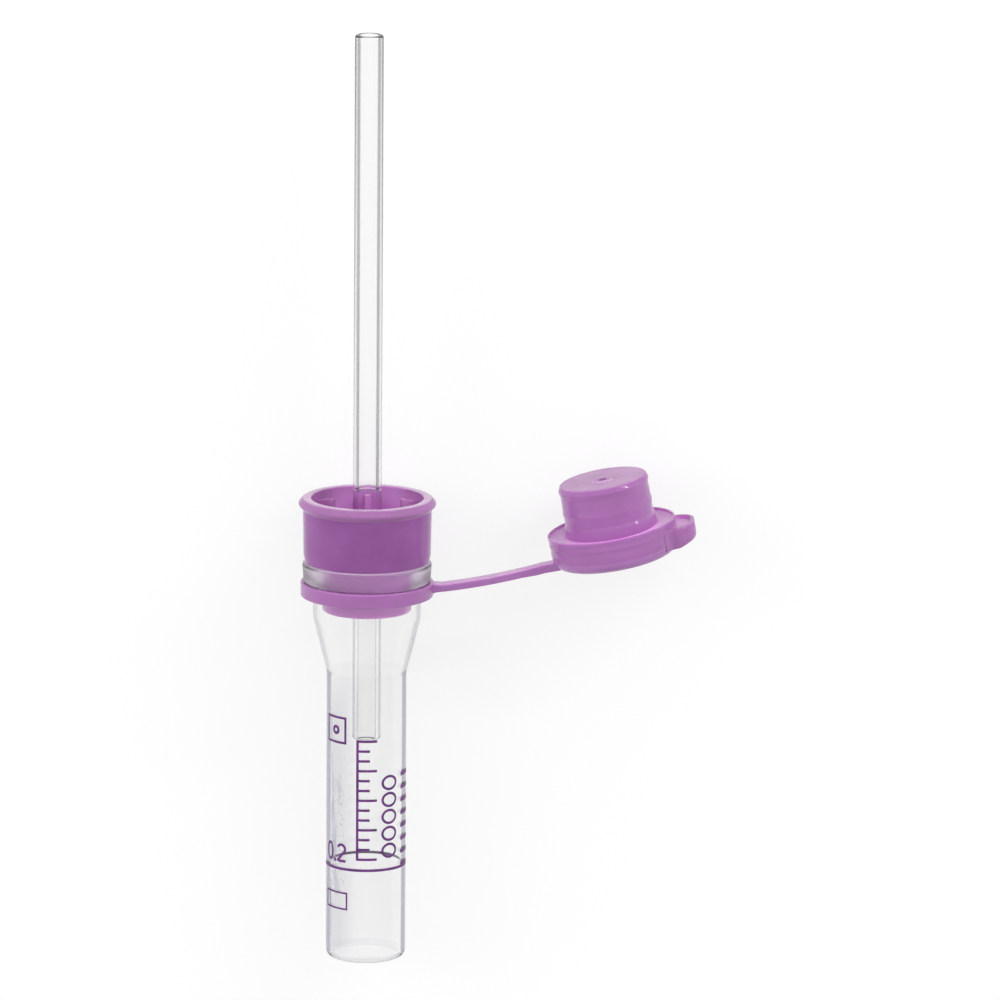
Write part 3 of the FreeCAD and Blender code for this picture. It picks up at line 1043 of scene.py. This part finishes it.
bm = bmesh.new()
for centre, width, low, high in ((-59, 13, 9.9, 16.6), (-62, 5, 14.8, 21.5), (-52, 12, 6.8, 9.4),
                                 (-66, 4, 2.0, 8.5), (-47, 3, 16.0, 19.0)):
    smear(bm, lambda share, middle=centre: middle + 2 * math.sin(5 * share), width, low, high, 0.9)
for _ in range(7):
    start, low = random.uniform(-60, -34), random.uniform(16.6, 19.0)
    swing, waves = random.uniform(2, 5), random.uniform(5, 11)
    smear(bm, lambda share: start + swing * math.sin(waves * share), 0.9, low, low + 1.7, 0.15)
additive_film = finish_piece("additive_film", bm, [film_dry], tube_frame)
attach(additive_film, "tube")

bm = bmesh.new()
for _ in range(110):
    azimuth = math.radians(random.uniform(-67, -36))
    height = random.uniform(7, 18)
    size = random.uniform(0.04, 0.10)
    seat = Matrix.Translation((crystal_radius * math.sin(azimuth),
                               -crystal_radius * math.cos(azimuth), height))
    turn = Matrix.Rotation(azimuth, 4, "Z") @ Matrix.Rotation(random.uniform(0, math.pi), 4, "Y")
    stretch = Matrix.Diagonal((size, 0.03, size * random.uniform(1, 2.2), 1))
    bmesh.ops.create_icosphere(bm, subdivisions=1, radius=1, matrix=seat @ turn @ stretch)
additive_crystals = finish_piece("additive_crystals", bm, [crystal_dry], tube_frame)
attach(additive_crystals, "tube")

# ---------------------------------------------------------------- floor, light, camera


def seen_glow(nodes, links, unseen, seen):
    """Strength for what lights the object, and for what the eye, gloss and clear walls see."""
    path = nodes.new("ShaderNodeLightPath")
    source = path.outputs["Is Camera Ray"]
    for other in ("Is Glossy Ray", "Is Transmission Ray"):
        either = nodes.new("ShaderNodeMath")
        either.operation = "MAXIMUM"
        links.new(source, either.inputs[0])
        links.new(path.outputs[other], either.inputs[1])
        source = either.outputs[0]
    strength = nodes.new("ShaderNodeMapRange")
    strength.inputs["To Min"].default_value = unseen
    strength.inputs["To Max"].default_value = seen
    links.new(source, strength.inputs["Value"])
    return strength.outputs["Result"]


floor_grey = 0.26
floor_glow = (0, 0.77)
sky_glow = (0.57, 0.85)

bpy.ops.mesh.primitive_plane_add(size=3)
floor = bpy.context.object
floor.name = "floor"
floor_paint, nodes, links = new_material("floor_paint")
shader = nodes["Principled BSDF"]
shader.inputs["Base Color"].default_value = (floor_grey, floor_grey, floor_grey, 1)
shader.inputs["Roughness"].default_value = 0.9
shader.inputs["Emission Color"].default_value = (1, 1, 1, 1)
links.new(seen_glow(nodes, links, *floor_glow), shader.inputs["Emission Strength"])
floor.data.materials.append(floor_paint)

world = bpy.data.worlds.new("studio")
bpy.context.scene.world = world
world.use_nodes = True
nodes, links = world.node_tree.nodes, world.node_tree.links
links.new(seen_glow(nodes, links, *sky_glow), nodes["Background"].inputs["Strength"])
nodes["Background"].inputs["Color"].default_value = (1, 1, 1, 1)


def soft_box(name, direction, distance, height, power, mirrored=True):
    """Area light at a distance in metres from the object's middle, turned to it."""
    place = middle + Vector(direction).normalized() * distance
    light = bpy.data.lights.new(name, "AREA")
    light.shape = "RECTANGLE"
    light.size = 0.50
    light.size_y = height
    light.energy = power
    lamp = bpy.data.objects.new(name, light)
    bpy.context.scene.collection.objects.link(lamp)
    lamp.location = place
    lamp.visible_glossy = mirrored
    lamp.visible_transmission = mirrored
    facing = (place - middle).normalized()
    across = (Vector((1, 0, 0)) - facing * facing.x).normalized()
    turn = Matrix((across, facing.cross(across), facing)).transposed()
    lamp.rotation_euler = turn.to_euler()


middle = (cad_box[0] + cad_box[1]) / 2
soft_box("key", (0.66, 0.61, 0.44), 0.70, 0.025, 1.65)
soft_box("top", (-0.05, 0.95, 0.35), 0.80, 0.50, 0.6)
soft_box("left", (-0.85, 0.25, 0.38), 0.70, 0.50, 2.0, False)
soft_box("right", (0.85, 0.25, 0.38), 0.70, 0.50, 0.3, False)

camera = bpy.data.cameras.new("camera")
camera.lens = 400
camera.sensor_width = 36
camera.clip_end = 10
eye = bpy.data.objects.new("camera", camera)
bpy.context.scene.collection.objects.link(eye)
bpy.context.scene.camera = eye
look_down = math.radians(12.4)
camera_roll = math.radians(0.40)
sight_distance = 1111.1
aim = Vector((13.26, 0, 47.07))
towards = Vector((0, -math.cos(look_down), math.sin(look_down)))
right = Vector((1, 0, 0))
stance = Matrix((right, towards.cross(right), towards)).transposed().to_4x4()
stance = Matrix.Translation((aim + towards * sight_distance) * 0.001) @ stance
eye.matrix_world = to_row @ stance @ Matrix.Rotation(camera_roll, 4, "Z")

bpy.context.scene.view_settings.view_transform = "Standard"
